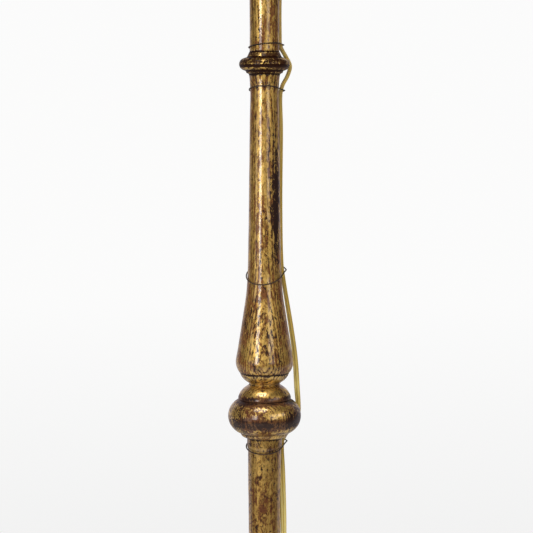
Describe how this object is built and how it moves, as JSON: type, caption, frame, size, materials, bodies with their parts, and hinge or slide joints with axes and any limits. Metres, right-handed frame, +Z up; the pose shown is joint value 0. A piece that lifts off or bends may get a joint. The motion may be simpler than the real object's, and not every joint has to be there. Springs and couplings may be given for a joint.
{
  "type": "candlestick floor lamp",
  "caption": "Tall floor lamp on a turned, gilded wooden column with vase, knop and collar, a round stepped base, a tapered cloth shade and a flat lead tied to its outside with iron wire.",
  "frame": {"origin": "on the floor under the middle of the round base", "axes": "+Z up along the column, -Y towards the front, the lead runs down the +X side"},
  "size_m": [0.3911, 0.4494, 1.6469],
  "materials": {
    "gilt_wood": "aged gold leaf over red-brown bole, varnished, with worn patches",
    "dark_gilt": "gilding gone dark and rough with dirt",
    "bare_wood": "bare turned beech",
    "felt": "green felt",
    "iron": "cast, rough",
    "dark_wire": "annealed iron wire, dark oxide",
    "steel": "zinc plated",
    "brass": "aged brass",
    "paperboard": "brown fibre",
    "phenolic": "brown moulded",
    "bulb_glass": "frosted",
    "shade_cloth": "slubbed linen on a stiff lining",
    "trim_tape": "woven tape",
    "gold_lead": "clear gold lead cover",
    "rubber": "brown rubber"
  },
  "bodies": {
    "lamp": {"felt_pads": "felt", "bun_foot_1": "gilt_wood", "bun_foot_2": "gilt_wood", "bun_foot_3": "gilt_wood", "foot_screws": "steel", "base_plinth": "gilt_wood", "ballast": "iron", "ballast_bolt": "steel", "ballast_washer": "steel", "base_cover": "felt", "cover_screws": "steel", "base_dome": "gilt_wood", "pedestal": "gilt_wood", "pedestal_dowel": "bare_wood", "lower_shaft": "gilt_wood", "knop": "gilt_wood", "knop_dowel": "bare_wood", "cushion_ring": "gilt_wood", "vase_shaft": "gilt_wood", "collar": "dark_gilt", "collar_dowel": "bare_wood", "upper_shaft": "gilt_wood", "capital_dowel": "bare_wood", "capital": "gilt_wood", "fixing_plate": "brass", "plate_screws": "steel", "drip_pan": "brass", "neck_spindle": "brass", "lamp_pipe": "steel", "harp_saddle": "brass", "harp": "brass", "harp_stud": "brass", "socket_cap": "brass", "socket_shell": "brass", "socket_liner": "paperboard", "socket_body": "phenolic", "screw_shell": "brass", "centre_contact": "steel", "cord_bushing": "rubber", "inner_lead": "gold_lead", "cord_run": "gold_lead", "cord_coil": "gold_lead", "coil_tie": "rubber", "plug_body": "rubber", "plug_blades": "brass", "wire_ties": "dark_wire"},
    "switch": {"switch_key": "phenolic"},
    "bulb": {"bulb_base": "brass", "bulb_glass": "bulb_glass", "bulb_stem": "bulb_glass"},
    "shade": {"shade_skin": "shade_cloth", "shade_top_ring": "brass", "shade_bottom_ring": "brass", "shade_trims": "trim_tape"},
    "finial": {"finial": "brass"},
    "left_sleeve": {"harp_sleeve_left": "brass"},
    "right_sleeve": {"harp_sleeve_right": "brass"}
  },
  "joints": [
    {"name": "switch_turn", "type": "hinge", "parent": "lamp", "child": "switch", "pos_m": [0, -0.02, 1.4082], "axis": [0, -1, 0], "continuous": true},
    {"name": "bulb_turn", "type": "hinge", "parent": "lamp", "child": "bulb", "pos_m": [0, 0, 1.4205], "axis": [0, 0, 1], "continuous": true},
    {"name": "shade_turn", "type": "hinge", "parent": "lamp", "child": "shade", "pos_m": [0, 0, 1.6121], "axis": [0, 0, 1], "continuous": true},
    {"name": "finial_turn", "type": "hinge", "parent": "lamp", "child": "finial", "pos_m": [0, 0, 1.6139], "axis": [0, 0, 1], "continuous": true},
    {"name": "left_sleeve_lift", "type": "slide", "parent": "lamp", "child": "left_sleeve", "axis": [0, 0, 1], "range_m": [0, 0.014]},
    {"name": "right_sleeve_lift", "type": "slide", "parent": "lamp", "child": "right_sleeve", "axis": [0, 0, 1], "range_m": [0, 0.014]}
  ]
}
